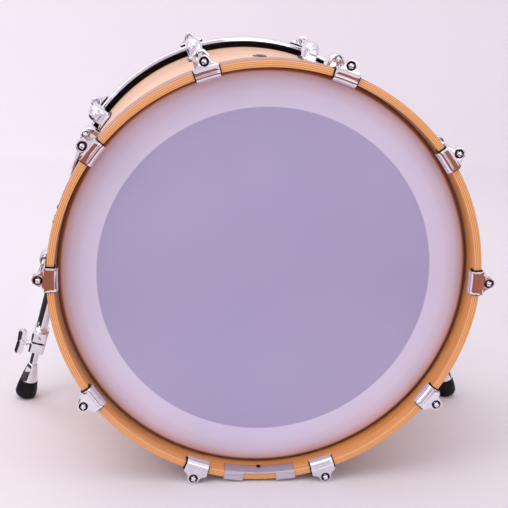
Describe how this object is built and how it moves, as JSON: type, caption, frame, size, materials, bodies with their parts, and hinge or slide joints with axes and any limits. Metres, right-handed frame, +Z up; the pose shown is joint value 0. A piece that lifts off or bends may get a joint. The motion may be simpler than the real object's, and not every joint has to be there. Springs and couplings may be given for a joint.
{
  "type": "bass drum",
  "caption": "Bass drum with wooden shell, film heads held by hoops, claw hooks and tension rods, and two folding telescopic spur legs.",
  "frame": {"origin": "on the floor, under the middle of the drum: midway between the two hoops, below the shell's axis", "axes": "+Z up; the shell's axis lies along Y and the batter head faces -Y; +X is to the right for someone facing the batter head"},
  "size_m": [0.7424, 0.4384, 0.591],
  "materials": {
    "shell_maple": "satin lacquered maple, pale",
    "hoop_maple": "honey lacquered maple plies",
    "chrome": "polished chrome plate",
    "zinc_steel": "zinc plated steel",
    "plate_steel": "satin stainless sheet",
    "flesh_aluminium": "satin drawn channel",
    "black_steel": "black lacquered steel channel",
    "black_core": "matte black filler",
    "head_film": "frosted polyester film",
    "muffle_film": "white polyester film",
    "pad_rubber": "black rubber",
    "foot_rubber": "black rubber, moulded",
    "nylon": "black nylon"
  },
  "bodies": {
    "root": {"shell": "shell_maple", "vent_grommet": "chrome", "batter_film": "head_film", "batter_muffle_ring": "muffle_film", "batter_flesh_hoop": "flesh_aluminium", "front_film": "head_film", "front_flesh_hoop": "black_steel", "batter_hoop": "hoop_maple", "front_hoop": "chrome", "front_hoop_core": "black_core", "pedal_plate": "plate_steel", "pedal_plate_screw": "zinc_steel", "batter_claws": "chrome", "front_claws": "chrome", "claw_pads": "pad_rubber", "rod_washers": "nylon", "batter_lugs": "chrome", "front_lugs": "chrome", "lug_gaskets": "pad_rubber", "swivel_nuts": "zinc_steel", "lug_screws": "zinc_steel", "lug_screw_washers": "zinc_steel", "spur_brackets": "chrome", "spur_bracket_gaskets": "pad_rubber", "spur_bracket_screws": "zinc_steel", "spur_pivot_bolts": "chrome"},
    "batter_rod_01": {"batter_rod_01": "chrome"},
    "batter_rod_02": {"batter_rod_02": "chrome"},
    "batter_rod_03": {"batter_rod_03": "chrome"},
    "batter_rod_04": {"batter_rod_04": "chrome"},
    "batter_rod_05": {"batter_rod_05": "chrome"},
    "batter_rod_06": {"batter_rod_06": "chrome"},
    "batter_rod_07": {"batter_rod_07": "chrome"},
    "batter_rod_08": {"batter_rod_08": "chrome"},
    "batter_rod_09": {"batter_rod_09": "chrome"},
    "batter_rod_10": {"batter_rod_10": "chrome"},
    "front_rod_01": {"front_rod_01": "chrome"},
    "front_rod_02": {"front_rod_02": "chrome"},
    "front_rod_03": {"front_rod_03": "chrome"},
    "front_rod_04": {"front_rod_04": "chrome"},
    "front_rod_05": {"front_rod_05": "chrome"},
    "front_rod_06": {"front_rod_06": "chrome"},
    "front_rod_07": {"front_rod_07": "chrome"},
    "front_rod_08": {"front_rod_08": "chrome"},
    "front_rod_09": {"front_rod_09": "chrome"},
    "front_rod_10": {"front_rod_10": "chrome"},
    "left_leg": {"left_leg_tube": "chrome", "left_leg_clamp": "chrome"},
    "left_wing_screw": {"left_wing_screw": "chrome"},
    "left_sliding_rod": {"left_leg_rod": "chrome", "left_rod_bush": "nylon", "left_ferrule": "chrome"},
    "left_foot": {"left_foot": "foot_rubber"},
    "right_leg": {"right_leg_tube": "chrome", "right_leg_clamp": "chrome"},
    "right_wing_screw": {"right_wing_screw": "chrome"},
    "right_sliding_rod": {"right_leg_rod": "chrome", "right_rod_bush": "nylon", "right_ferrule": "chrome"},
    "right_foot": {"right_foot": "foot_rubber"}
  },
  "joints": [
    {"name": "batter_rod_01_turn", "type": "hinge", "parent": "root", "child": "batter_rod_01", "pos_m": [0.09342, -0.211, 0.58301], "axis": [0, 1, 0], "continuous": true},
    {"name": "batter_rod_02_turn", "type": "hinge", "parent": "root", "child": "batter_rod_02", "pos_m": [0.24457, -0.211, 0.47319], "axis": [0, 1, 0], "continuous": true},
    {"name": "batter_rod_03_turn", "type": "hinge", "parent": "root", "child": "batter_rod_03", "pos_m": [0.3023, -0.211, 0.2955], "axis": [0, 1, 0], "continuous": true},
    {"name": "batter_rod_04_turn", "type": "hinge", "parent": "root", "child": "batter_rod_04", "pos_m": [0.24457, -0.211, 0.11782], "axis": [0, 1, 0], "continuous": true},
    {"name": "batter_rod_05_turn", "type": "hinge", "parent": "root", "child": "batter_rod_05", "pos_m": [0.09342, -0.211, 0.008], "axis": [0, 1, 0], "continuous": true},
    {"name": "batter_rod_06_turn", "type": "hinge", "parent": "root", "child": "batter_rod_06", "pos_m": [-0.09342, -0.211, 0.008], "axis": [0, 1, 0], "continuous": true},
    {"name": "batter_rod_07_turn", "type": "hinge", "parent": "root", "child": "batter_rod_07", "pos_m": [-0.24457, -0.211, 0.11782], "axis": [0, 1, 0], "continuous": true},
    {"name": "batter_rod_08_turn", "type": "hinge", "parent": "root", "child": "batter_rod_08", "pos_m": [-0.3023, -0.211, 0.2955], "axis": [0, 1, 0], "continuous": true},
    {"name": "batter_rod_09_turn", "type": "hinge", "parent": "root", "child": "batter_rod_09", "pos_m": [-0.24457, -0.211, 0.47319], "axis": [0, 1, 0], "continuous": true},
    {"name": "batter_rod_10_turn", "type": "hinge", "parent": "root", "child": "batter_rod_10", "pos_m": [-0.09342, -0.211, 0.58301], "axis": [0, 1, 0], "continuous": true},
    {"name": "front_rod_01_turn", "type": "hinge", "parent": "root", "child": "front_rod_01", "pos_m": [0.09342, 0.211, 0.58301], "axis": [0, 1, 0], "continuous": true},
    {"name": "front_rod_02_turn", "type": "hinge", "parent": "root", "child": "front_rod_02", "pos_m": [0.24457, 0.211, 0.47319], "axis": [0, 1, 0], "continuous": true},
    {"name": "front_rod_03_turn", "type": "hinge", "parent": "root", "child": "front_rod_03", "pos_m": [0.3023, 0.211, 0.2955], "axis": [0, 1, 0], "continuous": true},
    {"name": "front_rod_04_turn", "type": "hinge", "parent": "root", "child": "front_rod_04", "pos_m": [0.24457, 0.211, 0.11782], "axis": [0, 1, 0], "continuous": true},
    {"name": "front_rod_05_turn", "type": "hinge", "parent": "root", "child": "front_rod_05", "pos_m": [0.09342, 0.211, 0.008], "axis": [0, 1, 0], "continuous": true},
    {"name": "front_rod_06_turn", "type": "hinge", "parent": "root", "child": "front_rod_06", "pos_m": [-0.09342, 0.211, 0.008], "axis": [0, 1, 0], "continuous": true},
    {"name": "front_rod_07_turn", "type": "hinge", "parent": "root", "child": "front_rod_07", "pos_m": [-0.24457, 0.211, 0.11782], "axis": [0, 1, 0], "continuous": true},
    {"name": "front_rod_08_turn", "type": "hinge", "parent": "root", "child": "front_rod_08", "pos_m": [-0.3023, 0.211, 0.2955], "axis": [0, 1, 0], "continuous": true},
    {"name": "front_rod_09_turn", "type": "hinge", "parent": "root", "child": "front_rod_09", "pos_m": [-0.24457, 0.211, 0.47319], "axis": [0, 1, 0], "continuous": true},
    {"name": "front_rod_10_turn", "type": "hinge", "parent": "root", "child": "front_rod_10", "pos_m": [-0.09342, 0.211, 0.58301], "axis": [0, 1, 0], "continuous": true},
    {"name": "left_leg_fold", "type": "hinge", "parent": "root", "child": "left_leg", "pos_m": [-0.30378, 0.051, 0.21411], "axis": [-0.9703, 0, 0.2419], "range_deg": [0, 99]},
    {"name": "left_wing_screw_turn", "type": "hinge", "parent": "left_leg", "child": "left_wing_screw", "pos_m": [-0.33282, 0.07433, 0.09765], "axis": [-0.9703, 0, 0.2419], "continuous": true},
    {"name": "left_leg_extend", "type": "slide", "parent": "left_leg", "child": "left_sliding_rod", "axis": [-0.2375, 0.1908, -0.9525], "range_m": [0, 0.06]},
    {"name": "left_foot_turn", "type": "hinge", "parent": "left_sliding_rod", "child": "left_foot", "pos_m": [-0.34879, 0.08716, 0.0336], "axis": [-0.2375, 0.1908, -0.9525], "continuous": true},
    {"name": "right_leg_fold", "type": "hinge", "parent": "root", "child": "right_leg", "pos_m": [0.30378, 0.051, 0.21411], "axis": [-0.9703, 0, -0.2419], "range_deg": [0, 99]},
    {"name": "right_wing_screw_turn", "type": "hinge", "parent": "right_leg", "child": "right_wing_screw", "pos_m": [0.33282, 0.07433, 0.09765], "axis": [0.9703, 0, 0.2419], "continuous": true},
    {"name": "right_leg_extend", "type": "slide", "parent": "right_leg", "child": "right_sliding_rod", "axis": [0.2375, 0.1908, -0.9525], "range_m": [0, 0.06]},
    {"name": "right_foot_turn", "type": "hinge", "parent": "right_sliding_rod", "child": "right_foot", "pos_m": [0.34879, 0.08716, 0.0336], "axis": [0.2375, 0.1908, -0.9525], "continuous": true}
  ]
}
